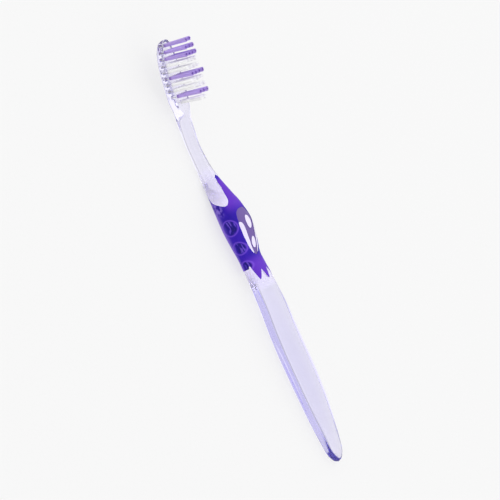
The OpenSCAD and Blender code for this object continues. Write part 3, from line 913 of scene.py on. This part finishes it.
def paper_floor():
    """White table top, softly lit from below."""
    material, shader, add, join = new_finish("pale_paper")
    join(ramp_of(add, noise(add, PAPER_TOOTH, detail=3), PAPER_GREY), "Base Color")
    shader.inputs["Roughness"].default_value = 0.9
    shader.inputs["Specular IOR Level"].default_value = 0.1
    shader.inputs["Emission Color"].default_value = (1, 1, 1, 1)
    shader.inputs["Emission Strength"].default_value = 0.68
    return material


def dressed(piece, material, slot, *nodes):
    """Gives a piece its finish, hangs it under the root, and hides the packed parts that it stands for."""
    piece.data.materials.clear()
    piece.data.materials.append(material)
    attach(piece, "root")
    if nodes:
        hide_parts(*nodes)
    return piece


# The brush
space = grip_space()
body = clear_body(copied(space))
grip = soft_grip(space)
dressed(body, clear_plastic(), "clear_plastic", "handle")
dressed(grip, soft_violet(), "soft_grip", "grip_sleeve")

chance = random.Random(7)
violet, white = nylon("violet_nylon", *VIOLET_STRAND), nylon("white_nylon", *WHITE_STRAND)
for row in range(ROWS):
    coloured = row in COLOURED_ROWS
    dressed(bristle_row(row, chance), violet if coloured else white,
            "violet_bristle" if coloured else "white_bristle", f"tuft_row_{row + 1:02d}")

strip = anchor_strip()
for row in range(ROWS):
    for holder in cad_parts[f"anchor_row_{row + 1:02d}"].material_slots:
        holder.material = strip

# Floor, light and camera
FLOOR_REACH = 3  # metres
CLEAR_BOUNCES, SOFT_BOUNCES = 32, 12
SKY = [(0.0, 0.6), (0.14, 0.68), (0.32, 0.9), (0.5, 1.25), (1.0, 1.3)]  # height, brightness
VIEW_UP, ROLL = radians(35), radians(65.27)
AIM = Vector((-0.43, 0, 6.95)) * MM
FRAME_WIDTH = 207.25 * MM  # across the picture, at the brush
LENS, SENSOR, NEAR, FAR = 600, 36, 0.1, 20
scene = bpy.context.scene


def table_top():
    form = bmesh.new()
    bmesh.ops.create_grid(form, x_segments=1, y_segments=1, size=FLOOR_REACH)
    floor = as_object("floor", form)
    floor.data.materials.append(paper_floor())
    return floor


def studio():
    """Bright soft light from above, dimmer towards the horizon, so that clear edges read."""
    world = bpy.data.worlds.new("studio")
    world.use_nodes = True
    tree = world.node_tree
    kinds = ("TexCoord", "SeparateXYZ", "ValToRGB")
    coordinates, split, ramp = (tree.nodes.new(f"ShaderNode{kind}") for kind in kinds)
    tree.links.new(coordinates.outputs["Generated"], split.inputs[0])
    tree.links.new(split.outputs["Z"], ramp.inputs[0])
    tree.links.new(filled(ramp, SKY), tree.nodes["Background"].inputs["Color"])
    return world


def soft_light(name, place, aim, size, power):
    lamp = bpy.data.lights.new(name, "AREA")
    lamp.shape, lamp.size, lamp.energy = "DISK", size, power
    holder = bpy.data.objects.new(name, lamp)
    holder.location = place
    holder.rotation_euler = (Vector(aim) - Vector(place)).to_track_quat("-Z", "Y").to_euler()
    scene.collection.objects.link(holder)


def photo_camera():
    """Camera far off with a long lens, turned so that the brush lies steeply across the picture."""
    lens = bpy.data.cameras.new("camera")
    lens.lens, lens.sensor_width, lens.clip_start, lens.clip_end = LENS, SENSOR, NEAR, FAR
    camera = bpy.data.objects.new("camera", lens)
    away = Vector((0, -cos(VIEW_UP), sin(VIEW_UP)))
    along, rise = Vector((1, 0, 0)), Vector((0, sin(VIEW_UP), cos(VIEW_UP)))
    right = along * cos(ROLL) + rise * sin(ROLL)
    up = rise * cos(ROLL) - along * sin(ROLL)
    place = Matrix((right, up, away)).transposed().to_4x4()
    place.translation = AIM + away * (FRAME_WIDTH * LENS / SENSOR)
    camera.matrix_world = place
    scene.collection.objects.link(camera)
    return camera


table_top()
scene.view_settings.view_transform = "Standard"
scene.cycles.max_bounces = scene.cycles.transmission_bounces = scene.cycles.glossy_bounces = CLEAR_BOUNCES
scene.cycles.transparent_max_bounces = CLEAR_BOUNCES
scene.cycles.diffuse_bounces = SOFT_BOUNCES
scene.world = studio()
soft_light("window_light", place=(-0.25, 0.45, 0.8), aim=(0, 0, 0), size=0.3, power=0.4)
scene.camera = photo_camera()
